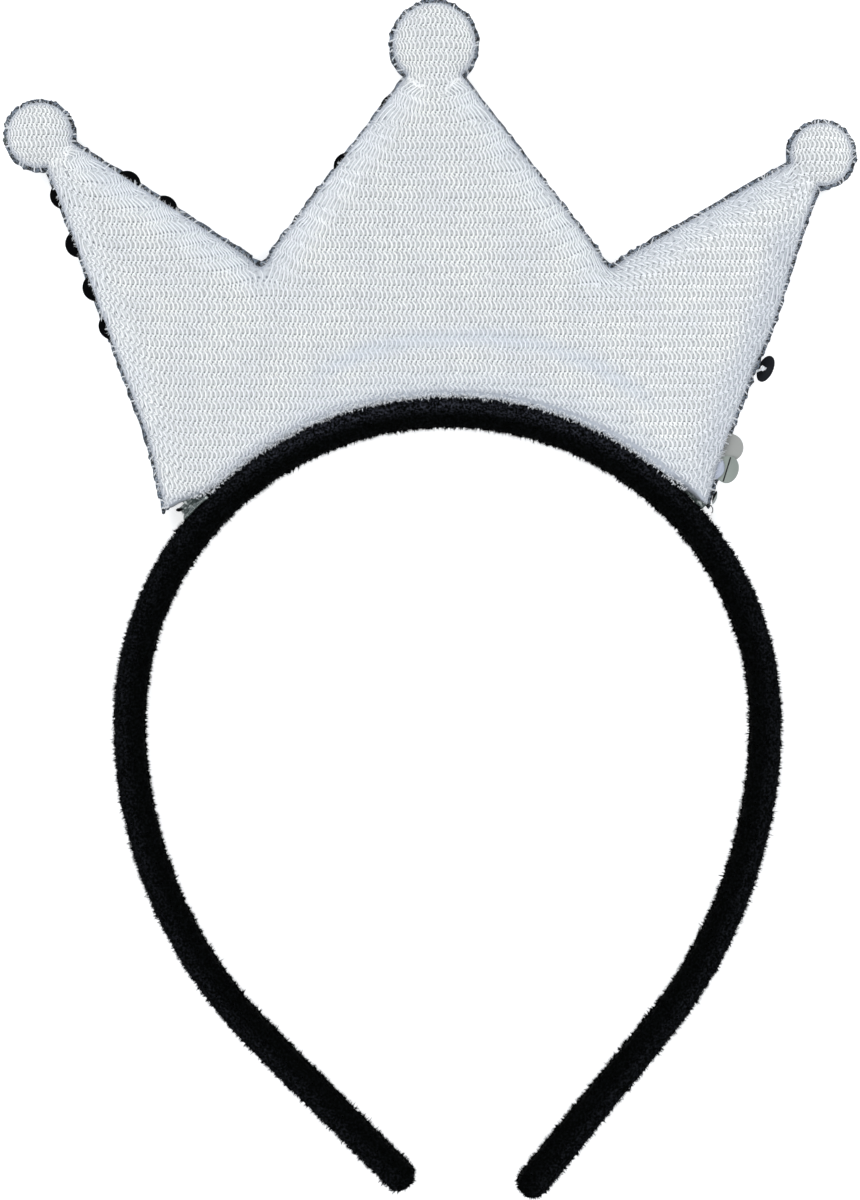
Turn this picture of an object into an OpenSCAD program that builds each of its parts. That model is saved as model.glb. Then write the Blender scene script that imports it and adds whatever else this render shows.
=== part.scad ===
// Mini crown headband: a padded three-peaked crown glued to a plush-covered hoop, lying on
// its front. Seen from the back, +X is to the right, +Y is to the crown's top and +Z comes
// out of the back. The origin is the middle of the hoop, on the surface that it lies on.

/* [Hoop] */
// Radius of the hoop's centreline over the top of the head
hoop_r = 62.9; // [55:0.1:72]
// Radius of the hoop's centreline at the temples
temple_r = 59.1; // [52:0.1:66]
// Angle from the top of the hoop to where its temple curves start
temple_from = 45; // [38:1:52]
// Radius of the left leg's curve
left_leg_r = 86.6; // [75:0.1:100]
// Angle that the left leg's curve turns through
left_leg_turn = 45; // [32:1:50]
// Radius of the right leg's curve
right_leg_r = 95.3; // [80:0.1:108]
// Angle that the right leg's curve turns through
right_leg_turn = 39; // [28:1:44]
// Length of the straight stretch at the end of each leg
leg_straight = 38; // [25:0.5:45]
// Thickness of the plush-covered hoop, from the inside out
hoop_t = 6; // [4.5:0.1:8]
// Width of the hoop, from front to back
hoop_w = 11; // [9:0.1:16]
// Radius of the hoop's long edges
hoop_round = 2.2; // [1:0.1:2.6]

/* [Crown] */
// Angle from the top of the hoop to the crown's left corner
left_reach = 52; // [44:0.5:58]
// Angle from the top of the hoop to the crown's right corner
right_reach = 49; // [42:0.5:56]
// Distance of the crown's left corner from its seat on the hoop
left_lift = 3.8; // [1:0.1:6]
// Distance of the crown's right corner from its seat on the hoop
right_lift = 0.9; // [0.2:0.1:3]
// Angle over which a corner comes away from the hoop
lift_span = 9; // [5:0.5:14]
// Thickness of the crown's front half
front_t = 5.3; // [4:0.1:8]
// Thickness of the crown's back half
back_t = 4.4; // [3:0.1:7]
// Width of the crown's rounded edge
edge_w = 4.5; // [3:0.1:6.5]
// Width of the front cloth that shows past the back cloth
rim_w = 0.6; // [0.3:0.05:1.2]
// Fall of the front cloth over that width
rim_fall = 0.35; // [0.1:0.05:0.8]
// How far the left side draws in at each fifth of the way up, or swells out if negative
left_side_bow = [1.25, 1, 0.7, 0.4]; // [-3:0.05:3]
// How far the right side draws in at each fifth of the way up, or swells out if negative
right_side_bow = [0.5, 0.1, -0.55, 0.1]; // [-3:0.05:3]

/* [Peaks] */
// Distance of the left ball tip to the left of the hoop's middle
left_tip_x = 79.3; // [70:0.1:88]
// Height of the left ball tip above the hoop
left_tip_rise = 50.7; // [42:0.1:60]
// Diameter of the left ball tip
left_tip_d = 14; // [12:0.1:18]
// Width of the left peak where it meets its ball tip
left_neck_w = 8; // [6:0.1:10]
// Angle by which the left ball tip leans out
left_lean = 45; // [30:1:55]
// Distance of the middle ball tip to the left of the hoop's middle
middle_tip_x = 2.6; // [-4:0.1:8]
// Height of the middle ball tip above the hoop
middle_tip_rise = 68.4; // [58:0.1:80]
// Diameter of the middle ball tip
middle_tip_d = 17.4; // [14:0.1:21]
// Width of the middle peak where it meets its ball tip
middle_neck_w = 12; // [10:0.1:13.5]
// Distance of the right ball tip to the right of the hoop's middle
right_tip_x = 72.7; // [64:0.1:82]
// Height of the right ball tip above the hoop
right_tip_rise = 47; // [40:0.1:56]
// Diameter of the right ball tip
right_tip_d = 13.5; // [11.5:0.1:17]
// Width of the right peak where it meets its ball tip
right_neck_w = 8.1; // [6:0.1:10]
// Angle by which the right ball tip leans out
right_lean = 40; // [28:1:52]
// Distance of the left notch to the left of the hoop's middle
left_notch_x = 36.2; // [30:0.1:42]
// Height of the left notch above the hoop
left_notch_rise = 26.1; // [20:0.1:32]
// Distance of the right notch to the right of the hoop's middle
right_notch_x = 31.5; // [26:0.1:38]
// Height of the right notch above the hoop
right_notch_rise = 25.9; // [20:0.1:32]

/* [Glue] */
// Gap that the glue fills between the hoop and the crown
glue_gap = 0.5; // [0.35:0.05:1.5]
// Width of the glue strip, from front to back
glue_w = 5; // [3:0.1:6]
// Angle from the crown's left corner to the left end of the glue
glue_from = 3.3; // [1:0.1:8]

/* [Sequins] */
// Diameter of a sequin
sequin_d = 5.4; // [4:0.1:6.5]
// Diameter of the hole in a sequin
sequin_hole_d = 1; // [0.6:0.1:1.6]
// Distance of that hole from the sequin's middle
sequin_hole_off = 1.5; // [0.5:0.1:2]
// Thickness of a sequin
sequin_t = 0.15; // [0.1:0.01:0.25]
// Tilt of the sequin that hangs off the right side
hanging_tilt = 60; // [30:1:75]
// Angle at which the creased sequin is bent
crease = 42; // [10:1:60]
// Width of the cut scrap of a sequin
scrap_w = 0.85; // [0.5:0.05:1.5]

/* [Hidden] */
$fn = 64;

// Space kept between pieces that lie against each other
clear = 0.1;
// The seam between the crown's halves holds two layers of sequins
seam_gap = 2 * sequin_t + 3 * clear;
back_z = front_t + seam_gap;
girth_z = front_t - rim_fall;

// Derived hoop sizes
edge_r = min(hoop_round, hoop_t / 2 - clear);
hoop_top = hoop_r + hoop_t / 2;
temple_at = (hoop_r - temple_r) * [sin(temple_from), cos(temple_from)];
// Steps that the hoop's mesh takes round a long edge and along its arcs, and degrees round a tip
EDGE_STEPS = 3;
TOP_STEPS = 15;
TEMPLE_STEPS = 15;
LEG_STEPS = 18;
TIP_STEP = 15;

// Derived crown sizes. Sides are 0 for left and 1 for right; peaks are 0, 1 and 2.
corner_a = [90 + left_reach, 90 - right_reach];
corner_lift = [left_lift, right_lift];
side_bow = [left_side_bow, right_side_bow];
// Share of the back's thickness that builds up slowly past the rounded edge
dome = 0.15;
// Distance from the edge over which that share builds up
dome_reach = 2 * edge_w;

tip_at = [[-left_tip_x, hoop_top + left_tip_rise],
          [-middle_tip_x, hoop_top + middle_tip_rise],
          [right_tip_x, hoop_top + right_tip_rise]];
tip_d = [left_tip_d, middle_tip_d, right_tip_d];
neck_w = [left_neck_w, middle_neck_w, right_neck_w];
// Direction from each ball tip to its neck
neck_a = [-90 + left_lean, -90, -90 - right_lean];
notch_at = [[-left_notch_x, hoop_top + left_notch_rise],
            [right_notch_x, hoop_top + right_notch_rise]];

// Mesh of each peak: rows from its foot to its notch, its neck and its tip, and columns
FOOT_ROWS = 10;
SLOPE_ROWS = 6;
TIP_ROWS = 7;
NECK_ROW = FOOT_ROWS + SLOPE_ROWS;
LAST_ROW = NECK_ROW + TIP_ROWS;
COLUMNS = 12;
// Half the angle of the ball tip's arc that the last row covers
TIP_CAP = 25;

// Sequins caught in the crown's seam. Edges count from the left side round the notches to
// the right side; the way runs up an edge or down it from left to right.
// [edge, share of the way along it, share of the sequin that sticks out]
BLACK_SEQUINS = [
    [0, 0.92, 0.21],
    [0, 0.78, 0.31],
    [0, 0.65, 0.27],
    [0, 0.535, 0.20],
    [1, 0.30, 0.22],
    [1, 0.50, 0.19],
    [2, 0.55, 0.14],
    [2, 0.87, 0.08]
];
GREY_SEQUIN = [5, 0.81, 0.59];
CREASED_SEQUIN = [5, 0.875, 0.77];
HANGING_SEQUIN = [5, 0.553];
SCRAP = [5, 0.965];

function lerp(a, b, t) = a + (b - a) * t;
function polar(r, a) = r * [cos(a), sin(a)];
function smooth(t) = let (u = max(0, min(1, t))) u * u * (3 - 2 * u);
function turned(v) = [-v[1], v[0]];
function unit(v) = v / norm(v);
function cosine_step(k, n) = (1 - cos(180 * k / n)) / 2;

// Distance from the hoop's middle to its outer face in direction a
function hoop_out(a) =
    let (
        u = polar(1, a),
        on_temple = abs(a - 90) > temple_from,
        c = on_temple ? [sign(u[0]) * temple_at[0], temple_at[1]] : [0, 0],
        r = (on_temple ? temple_r : hoop_r) + hoop_t / 2
    )
    u * c + sqrt(r * r - c * c + (u * c) * (u * c));

// How far the crown's lower edge comes away from its seat in direction a
function lift(a) =
    corner_lift[0] * smooth((a - corner_a[0]) / lift_span + 1)
    + corner_lift[1] * smooth((corner_a[1] - a) / lift_span + 1);

// Point of the crown's foot in direction a
function seat(a) = polar(hoop_out(a) + glue_gap + lift(a), a);

// An inset outline draws each corner and notch back by these multiples of the inset
corner_draw = 1.2;
notch_draw = 1.35;
function foot_a(side, inset) =
    let (sag = corner_draw * inset / hoop_top * 180 / PI)
    corner_a[side] + (side == 0 ? -sag : sag);
function notch(k, inset) = notch_at[k] - [0, notch_draw * inset];
function notch_a(k) = atan2(notch_at[k][1], notch_at[k][0]);

// Point on ball tip p, in a direction counted from its neck
function tip_point(p, from_neck, inset) =
    tip_at[p] + polar(tip_d[p] / 2 - inset, neck_a[p] + from_neck);
function neck_half_a(p, inset) = asin((neck_w[p] / 2 - inset) / (tip_d[p] / 2 - inset));
// Point where ball tip p meets its peak, on its left (-1) or its right (1)
function neck(p, way, inset) = tip_point(p, way * neck_half_a(p, inset), inset);

// How far a side draws in at a share of the straight way up it, on a smooth curve through
// its bows at the fifths
function bow(side, share) =
    let (
        k = max(0, min(4, floor(5 * share))),
        u = 5 * share - k,
        b = concat([0, 0], side_bow[side], [0, 0]),
        straight = lerp(b[k + 1], b[k + 2], u),
        bend = [2 * b[k + 1] - b[k] - b[k + 2], 2 * b[k + 2] - b[k + 1] - b[k + 3]] / 2
    )
    straight + u * (1 - u) * lerp(bend[0], bend[1], u);

// Point up one side of the crown, at a share of the straight way from its corner to its
// ball tip
function side_curve(side, share, inset) =
    let (
        foot = seat(foot_a(side, inset)),
        top = neck(2 * side, side == 0 ? -1 : 1, inset),
        inwards = (side == 0 ? -1 : 1) * turned(unit(top - foot))
    )
    lerp(foot, top, share) + bow(side, share) * inwards;

// Share of a side that lies below the level of its notch
function side_share(side, inset) =
    let (
        n = notch(side, inset),
        below = norm(n - seat(notch_a(side))),
        above = norm(n - neck(2 * side, side == 0 ? 1 : -1, inset))
    )
    below / (below + above);

function row_share(j) =
    j <= FOOT_ROWS ? cosine_step(j, FOOT_ROWS)
    : j <= NECK_ROW ? pow((j - FOOT_ROWS) / SLOPE_ROWS, 1.5)
    : (j - NECK_ROW) / TIP_ROWS;

// End of row j of peak p, on its left (-1) or its right (1)
function row_end(p, way, j, inset) =
    let (
        share = row_share(j),
        outside = (p == 0 && way < 0) || (p == 2 && way > 0),
        side = p == 0 ? 0 : 1,
        wall = p + (way - 1) / 2
    )
    j > NECK_ROW ? tip_point(p, way * tip_end(p, share, inset), inset)
    : outside ? let (low = side_share(side, inset))
        side_curve(side, j <= FOOT_ROWS ? low * share : lerp(low, 1, share), inset)
    : j <= FOOT_ROWS ? lerp(seat(notch_a(wall)), notch(wall, inset), share)
    : lerp(notch(wall, inset), neck(p, way, inset), share);

// Point of peak p on row j at share t of the way from left to right
function row_point(p, j, t, inset) =
    let (
        left = row_end(p, -1, j, inset),
        right = row_end(p, 1, j, inset),
        chord = lerp(left, right, t),
        share = row_share(j),
        left_a = p == 0 ? foot_a(0, inset) : notch_a(p - 1),
        right_a = p == 2 ? foot_a(1, inset) : notch_a(p),
        foot = lerp(seat(left_a), seat(right_a), t),
        curve = j <= FOOT_ROWS ? seat(lerp(left_a, right_a, t)) - foot
            : j > NECK_ROW ? tip_point(p, tip_turn(t, tip_end(p, share, inset)), inset) - chord
            : [0, 0],
        weight = j <= FOOT_ROWS ? 1 - share : share * share
    )
    chord + weight * curve;

// Angle from the neck at which a ball tip's row ends
function tip_end(p, share, inset) = lerp(neck_half_a(p, inset), 180 - TIP_CAP, share);
// Angle from the neck of the point at share t of such a row, which passes the tip's far side
function tip_turn(t, end) = (t < 0.5 ? -1 : 1) * (180 - (180 - end) * abs(1 - 2 * t));

function on_outline(p, j, i) =
    j == 0 || j == LAST_ROW
    || (i == 0 && (p == 0 || j >= FOOT_ROWS))
    || (i == COLUMNS && (p == 2 || j >= FOOT_ROWS));

// The crown's outline as a loop of points, from the left corner along its foot
function outline(inset) = concat(
    [for (p = [0:2], i = [(p == 0 ? 0 : 1):COLUMNS]) grid_point(p, 0, i, inset)],
    [for (p = [2:-1:0], q = peak_outline(p, inset)) q]
);
function peak_outline(p, inset) = concat(
    [for (j = [(p == 2 ? 1 : FOOT_ROWS + 1):LAST_ROW]) grid_point(p, j, COLUMNS, inset)],
    [for (i = [COLUMNS - 1:-1:0]) grid_point(p, LAST_ROW, i, inset)],
    [for (j = [LAST_ROW - 1:-1:(p == 0 ? 1 : FOOT_ROWS)]) grid_point(p, j, 0, inset)]
);
function grid_point(p, j, i, inset) = row_point(p, j, cosine_step(i, COLUMNS), inset);

function segment_distance(q, a, b) =
    let (along = b - a, t = max(0, min(1, (q - a) * along / (along * along))))
    norm(q - a - t * along);
function edge_distance(q, loop) =
    min([for (i = [0:len(loop) - 1]) segment_distance(q, loop[i], loop[(i + 1) % len(loop)])]);

// Rounded edge: 0 at the edge, 1 from its full width inwards
function rounding(d, width) = let (u = 1 - min(1, d / width)) sqrt(1 - u * u);

// Index of a mesh vertex. Peaks share the vertices of the walls between them, and the two
// faces of a half share those on its outline.
PER_PEAK = (LAST_ROW + 1) * (COLUMNS + 1);
function vertex(face, p, j, i) =
    p > 0 && i == 0 && j <= FOOT_ROWS ? vertex(face, p - 1, j, COLUMNS)
    : (face == 1 && !on_outline(p, j, i) ? 3 * PER_PEAK : 0)
        + p * PER_PEAK + j * (COLUMNS + 1) + i;

// One padded half of the crown, with the height of its back and front faces by the
// distance from its outline
module crown_half(inset, back_of, front_of) {
    loop = outline(inset);
    places = [for (p = [0:2], j = [0:LAST_ROW], i = [0:COLUMNS]) grid_point(p, j, i, inset)];
    reach = [for (p = [0:2], j = [0:LAST_ROW], i = [0:COLUMNS])
        on_outline(p, j, i) ? 0 : edge_distance(places[vertex_place(p, j, i)], loop)];
    faces = [for (p = [0:2], j = [0:LAST_ROW - 1], i = [0:COLUMNS - 1], face = [0, 1])
        each cell(face, vertex(face, p, j, i), vertex(face, p, j, i + 1),
            vertex(face, p, j + 1, i + 1), vertex(face, p, j + 1, i),
            (i < COLUMNS / 2) == (j < LAST_ROW / 2))];
    polyhedron(
        points = concat(
            [for (k = [0:len(places) - 1]) [each places[k], back_of(reach[k])]],
            [for (k = [0:len(places) - 1]) [each places[k], front_of(reach[k])]]
        ),
        faces = faces, convexity = 6
    );
}
function vertex_place(p, j, i) = p * PER_PEAK + j * (COLUMNS + 1) + i;
// Two triangles of a mesh cell with corners a, b, c and d, on the back (0) or front (1) face
function cell(face, a, b, c, d, rising) =
    let (pair = rising ? [[a, c, b], [a, d, c]] : [[a, d, b], [b, d, c]])
    face == 0 ? pair : [for (t = pair) [t[0], t[2], t[1]]];

// A quarter of a rounded edge round a centre, starting in direction from
function edge_arc(centre, from) =
    [for (k = [0:EDGE_STEPS]) centre + polar(edge_r, from + 90 * k / EDGE_STEPS)];
// Section of the hoop, as points [outwards from its centreline, height]
function hoop_section() =
    let (out = hoop_t / 2 - edge_r, top = hoop_w - edge_r)
    concat(edge_arc([out, top], 0), edge_arc([-out, top], 90),
        edge_arc([-out, edge_r], 180), edge_arc([out, edge_r], 270));

// Rings of the hoop's right half, from its top to its tip, or of the left half mirrored:
// [place on the centreline, direction outwards, share of the full thickness]
function half_hoop(leg_r, turn) =
    let (
        leg_at = [temple_at[0] + temple_r - leg_r, temple_at[1]],
        ankle = leg_at + polar(leg_r, -turn)
    )
    concat(
        [for (k = [0:TOP_STEPS]) arc_ring([0, 0], hoop_r, 90 - temple_from * k / TOP_STEPS)],
        [for (k = [TEMPLE_STEPS - 1:-1:0])
            arc_ring(temple_at, temple_r, (90 - temple_from) * k / TEMPLE_STEPS)],
        [for (k = [1:LEG_STEPS]) arc_ring(leg_at, leg_r, -turn * k / LEG_STEPS)],
        [for (b = [0:TIP_STEP:90 - TIP_STEP])
            [ankle + polar(leg_straight + hoop_t / 2 * sin(b), -turn - 90), -turn, cos(b)]]
    );
function arc_ring(centre, r, a) = [centre + polar(r, a), a, 1];
function mirrored_ring(ring) = [[-ring[0][0], ring[0][1]], 180 - ring[1], ring[2]];

module headband() {
    left = half_hoop(left_leg_r, left_leg_turn);
    rings = concat([for (k = [len(left) - 1:-1:1]) mirrored_ring(left[k])],
        half_hoop(right_leg_r, right_leg_turn));
    section = hoop_section();
    n = len(section);
    last = (len(rings) - 1) * n;
    color("#17181c") polyhedron(
        points = [for (ring = rings, q = section)
            [each ring[0] + polar(ring[2] * q[0], ring[1]), q[1]]],
        faces = concat(
            [for (j = [0:len(rings) - 2], i = [0:n - 1], side = [0, 1])
                let (a = j * n + i, b = j * n + (i + 1) % n)
                side == 0 ? [a, a + n, b + n] : [a, b + n, b]],
            [for (i = [1:n - 2]) [0, i, i + 1]],
            [for (i = [1:n - 2]) [last, last + i + 1, last + i]]
        ),
        convexity = 4
    );
}

module crown_front() {
    color("#3a4048") crown_half(0,
        function (d) front_t - rim_fall * (1 - rounding(d, rim_w)),
        function (d) girth_z * (1 - rounding(d, edge_w)));
}

module crown_back() {
    color("#eef1f4") crown_half(rim_w,
        function (d) back_z + back_t * ((1 - dome) * rounding(d, edge_w)
            + dome * (d > 0 ? 1 - exp(-d / dome_reach) : 0)),
        function (d) back_z);
}

module glue_strip() {
    start = corner_a[0] - glue_from;
    end = foot_a(1, rim_w);
    steps = 40;
    angles = [for (k = [0:steps]) lerp(start, end, k / steps)];
    color("#c9cfcc", 0.6) translate([0, 0, girth_z - glue_w / 2]) linear_extrude(glue_w) polygon(
        concat(
            [for (a = angles) polar(hoop_out(a) + clear, a)],
            [for (k = [steps:-1:0]) polar(norm(seat(angles[k])) - clear, angles[k])]
        )
    );
}

// Ends of the crown's edges: left side, four slopes from left to right, right side
function edge_point(edge, t) =
    edge == 0 ? side_curve(0, t, 0)
    : edge == 1 ? lerp(neck(0, 1, 0), notch_at[0], t)
    : edge == 2 ? lerp(notch_at[0], neck(1, -1, 0), t)
    : edge == 3 ? lerp(neck(1, 1, 0), notch_at[1], t)
    : edge == 4 ? lerp(notch_at[1], neck(2, -1, 0), t)
    : side_curve(1, 1 - t, 0);
// Direction along an edge, from left to right round the crown's top
function edge_run(edge, t) = unit(edge_point(edge, t + 0.01) - edge_point(edge, t - 0.01));

// Places its children on an edge, with Y along the edge and X straight out of it
module on_edge(edge, t, out, z) {
    run = edge_run(edge, t);
    outwards = turned(run);
    spot = edge_point(edge, t) + out * outwards;
    translate([each spot, z]) rotate([0, 0, atan2(outwards[1], outwards[0])]) children();
}

// A flat sequin with its middle at the origin and its hole towards -X
module sequin() {
    linear_extrude(sequin_t) difference() {
        circle(d = sequin_d);
        sequin_hole();
    }
}
module sequin_hole() {
    translate([-sequin_hole_off, 0]) circle(d = sequin_hole_d);
}

lower_layer = front_t + clear;
upper_layer = lower_layer + sequin_t + clear;

module black_sequin(k) {
    row = BLACK_SEQUINS[k];
    color("#0c0d0f") on_edge(row[0], row[1], (row[2] - 0.5) * sequin_d, lower_layer) sequin();
}

module grey_sequin() {
    color("#a9aaa7") on_edge(GREY_SEQUIN[0], GREY_SEQUIN[1],
        (GREY_SEQUIN[2] - 0.5) * sequin_d, lower_layer) sequin();
}

// Two halves of a sequin that meet in the plane halfway between them. The inner one lies in
// the seam, with the hole, and the outer one stands up from it.
module creased_sequin() {
    color("#9aa09b") on_edge(CREASED_SEQUIN[0], CREASED_SEQUIN[1],
        (CREASED_SEQUIN[2] - 0.5) * sequin_d, upper_layer) difference() {
            for (side = [0, 1]) mirror(side * [cos(crease / 2), 0, sin(crease / 2)]) intersection() {
                linear_extrude(sequin_t) circle(d = sequin_d);
                rotate([0, -crease / 2, 0]) translate(-sequin_d * [1, 1, 1])
                    cube(sequin_d * [1, 2, 2]);
            }
            translate([0, 0, -clear / 2]) linear_extrude(sequin_t + clear) sequin_hole();
        }
}

module hanging_sequin() {
    out = clear + sequin_d / 2 * cos(hanging_tilt) + sequin_t;
    color("#26282b") on_edge(HANGING_SEQUIN[0], HANGING_SEQUIN[1], out, girth_z)
        rotate([0, -hanging_tilt, 0]) sequin();
}

// A lens-shaped scrap where two sequins were cut across each other
module sequin_scrap() {
    apart = (sequin_d - scrap_w) / 2;
    color("#7d827f") on_edge(SCRAP[0], SCRAP[1], clear + scrap_w / 2, lower_layer)
        linear_extrude(sequin_t) intersection() {
            translate([-apart, 0]) circle(d = sequin_d);
            translate([apart, 0]) circle(d = sequin_d);
        }
}

headband();
crown_front();
crown_back();
glue_strip();
for (k = [0:len(BLACK_SEQUINS) - 1])
    black_sequin(k);
hanging_sequin();
grey_sequin();
creased_sequin();
sequin_scrap();
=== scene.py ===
# %% [markdown]
# # A mini crown on a plush headband
# The real thing is a small stuffed crown, white knit at the back and dark cloth in front,
# stitched round its edge with sequins caught in the seam, and glued to a hoop that is
# wrapped in black plush. It lies on its front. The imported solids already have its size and
# its main forms, so they are loaded first as a fixed frame, and every cloth, pile and
# thread below is fitted to them.

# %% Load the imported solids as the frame
import math

import bmesh
import bpy
import numpy as np
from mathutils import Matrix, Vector, noise
from mathutils.bvhtree import BVHTree


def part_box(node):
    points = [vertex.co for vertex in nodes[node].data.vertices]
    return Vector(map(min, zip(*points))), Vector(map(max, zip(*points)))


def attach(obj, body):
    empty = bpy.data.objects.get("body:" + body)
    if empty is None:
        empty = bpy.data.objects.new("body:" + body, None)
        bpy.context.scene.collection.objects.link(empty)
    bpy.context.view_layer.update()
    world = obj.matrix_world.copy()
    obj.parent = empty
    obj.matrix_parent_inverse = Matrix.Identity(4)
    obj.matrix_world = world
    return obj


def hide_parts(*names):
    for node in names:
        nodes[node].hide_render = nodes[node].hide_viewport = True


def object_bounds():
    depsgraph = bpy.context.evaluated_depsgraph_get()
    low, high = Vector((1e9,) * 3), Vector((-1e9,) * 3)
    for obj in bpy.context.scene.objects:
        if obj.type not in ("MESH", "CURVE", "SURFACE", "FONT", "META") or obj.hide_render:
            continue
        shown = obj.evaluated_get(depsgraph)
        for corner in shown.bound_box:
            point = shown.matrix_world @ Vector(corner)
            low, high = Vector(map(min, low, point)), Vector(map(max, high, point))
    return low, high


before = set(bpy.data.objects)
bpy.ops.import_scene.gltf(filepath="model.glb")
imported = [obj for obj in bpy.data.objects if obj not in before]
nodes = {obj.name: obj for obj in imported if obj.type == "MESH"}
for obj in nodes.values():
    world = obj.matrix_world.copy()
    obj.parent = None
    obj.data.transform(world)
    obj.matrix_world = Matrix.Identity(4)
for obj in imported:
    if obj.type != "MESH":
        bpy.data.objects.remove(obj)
cad_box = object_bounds()
scene = bpy.context.scene
MM = 0.001
print("solids:", ", ".join(sorted(nodes)))
print("box in mm:", [[round(c / MM, 1) for c in corner] for corner in cad_box])

# %% [markdown]
# ## Where the camera stands
# The crown was photographed from straight above, filling a tall picture. A long lens keeps
# the ball tips and the hoop at one scale, as they are in the picture, so the camera stands
# far off. Its distance follows from the lens and from how many millimetres the picture's
# long side spans at the height of the crown's seam.

# %% Camera straight above
VIEW_MIDDLE = (-3.41, 26.27)
VIEW_SPAN = 233.5
SEAM_HEIGHT = 5.0
LENS, SENSOR = 200.0, 36.0


def placed(name, data):
    """A new object in the scene, made of that data."""
    made = bpy.data.objects.new(name, data)
    scene.collection.objects.link(made)
    return made


camera_data = bpy.data.cameras.new("overhead")
camera_data.lens = LENS
camera_data.sensor_width = SENSOR
camera_data.clip_end = 20
camera = placed("overhead", camera_data)
distance = LENS / SENSOR * VIEW_SPAN
camera.location = Vector((*VIEW_MIDDLE, SEAM_HEIGHT + distance)) * MM
scene.camera = camera
print(f"camera {distance:.0f} mm above the seam")

# %% [markdown]
# ## Small tools for finishes
# Colours are written as they look on a screen, and the shaders work in linear light, so one
# function turns them. Another adds a shader node with its settings and its links, which
# keeps each finish short enough to read as a recipe. Nothing made of thread or pile has one
# even colour, and a third function says where a finish is mottled, from a size in millimetres.

# %% Colour, node and mottle tools
def linear(code):
    """An sRGB hex colour as linear red, green, blue and alpha."""
    levels = [int(code[k:k + 2], 16) / 255 for k in (1, 3, 5)]
    return [v / 12.92 if v <= 0.04045 else ((v + 0.055) / 1.055) ** 2.4 for v in levels] + [1.0]


def add(tree, kind, inputs=None, **settings):
    """Adds a node. An input is given a value, a hex colour, or another node's output."""
    made = tree.nodes.new("ShaderNode" + kind)
    for name, value in settings.items():
        setattr(made, name, value)
    for key, value in (inputs or {}).items():
        if isinstance(value, bpy.types.NodeSocket):
            tree.links.new(value, made.inputs[key])
        else:
            made.inputs[key].default_value = linear(value) if isinstance(value, str) else value
    return made


def finish(name, colour=None, **values):
    """A new material, its node tree and its shader, with values on the shader's own sockets."""
    material = bpy.data.materials.new(name)
    material.use_nodes = True
    tree = material.node_tree
    shader = tree.nodes["Principled BSDF"]
    if colour:
        shader.inputs["Base Color"].default_value = linear(colour)
    for key, value in values.items():
        shader.inputs[key.replace("_", " ")].default_value = value
    return material, tree, shader


def mottle(tree, size, detail, low, high, most=1.0):
    """Where noise of that size in millimetres rises from low to high, as a node's output."""
    grain = add(tree, "TexCoord").outputs["Object"]
    spots = add(tree, "TexNoise", {"Vector": grain, "Scale": 1 / (size * MM), "Detail": detail})
    return add(tree, "MapRange", {0: spots.outputs["Fac"], 1: low, 2: high, 4: most}).outputs[0]


print("white in linear light:", linear("#EDF0F2")[:3])

# %% [markdown]
# ## Floor and light
# The crown lies on white paper so bright that it shows no shadow. The floor therefore glows
# a little, as paper on a light table does. Four soft lights stand round the camera and lean
# in, as on a copy stand: nothing shiny that lies flat can mirror them into the lens, so the
# black sequins stay black. Those on the left are a little stronger, which shades the right
# side. The sky round them is faintly blue, so that cloth that turns away from the lights
# goes bluish at its edges.

# %% White floor, softboxes and sky
FLOOR_HALF = 3
FLOOR_DOWN = 0.05
# White paper on a light table: matt, and it shows next to no shadow
paper = finish("white_paper", "#EBEBEB", Roughness=0.9, Emission_Color=(1, 1, 1, 1),
               Emission_Strength=0.55)[0]
shape = bmesh.new()
bmesh.ops.create_grid(shape, x_segments=1, y_segments=1, size=FLOOR_HALF)
bmesh.ops.translate(shape, verts=shape.verts, vec=(0, 0, -FLOOR_DOWN * MM))
floor_mesh = bpy.data.meshes.new("floor")
shape.to_mesh(floor_mesh)
shape.free()
floor_mesh.materials.append(paper)
placed("floor", floor_mesh)

SOFTBOXES = (0.70, 0.76, 0.88, 0.82)
SOFTBOX_LEAN = math.radians(38)
SOFTBOX_WIDE = math.radians(32)
SOFTBOX_TURN = 0.35
for k, energy in enumerate(SOFTBOXES):
    softbox = bpy.data.lights.new(f"softbox_{k}", "SUN")
    softbox.energy = energy
    softbox.angle = SOFTBOX_WIDE
    light = placed(f"softbox_{k}", softbox)
    light.rotation_euler = (SOFTBOX_LEAN, 0, 2 * math.pi * (k + SOFTBOX_TURN) / len(SOFTBOXES))

sky = bpy.data.worlds.new("sky")
sky.use_nodes = True
glow = sky.node_tree.nodes["Background"].inputs
glow["Color"].default_value = (0.86, 0.93, 1.0, 1)
glow["Strength"].default_value = 0.42
scene.world = sky
scene.view_settings.view_transform = "Standard"
print("softboxes in W per square metre:", SOFTBOXES)

# %% [markdown]
# ## Small tools for pieces
# Each cloth starts as a copy of its solid. The frame's meshes are loose triangles, so a copy is
# merged before anything else. A finished shape becomes an object that rides on the model's one
# body.

# %% Piece tools
def solid_copy(name):
    """A merged copy of a solid's mesh, in metres."""
    made = bmesh.new()
    made.from_mesh(nodes[name].data)
    bmesh.ops.remove_doubles(made, verts=made.verts, dist=0.001 * MM)
    return made


def dress(made, material, slot, *solids):
    """Gives a new object its finish and its place in the model."""
    made.data.materials.clear()
    made.data.materials.append(material)
    made.data.shade_smooth()
    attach(made, "root")
    if solids:
        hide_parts(*solids)
    triangles = sum(len(face.vertices) - 2 for face in made.data.polygons)
    print(f"{made.name}: {triangles} triangles")
    return made


def piece(name, made, material, slot, *solids):
    """Turns a bmesh into a dressed piece."""
    mesh = bpy.data.meshes.new(name)
    made.to_mesh(mesh)
    made.free()
    return dress(placed(name, mesh), material, slot, *solids)


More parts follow.
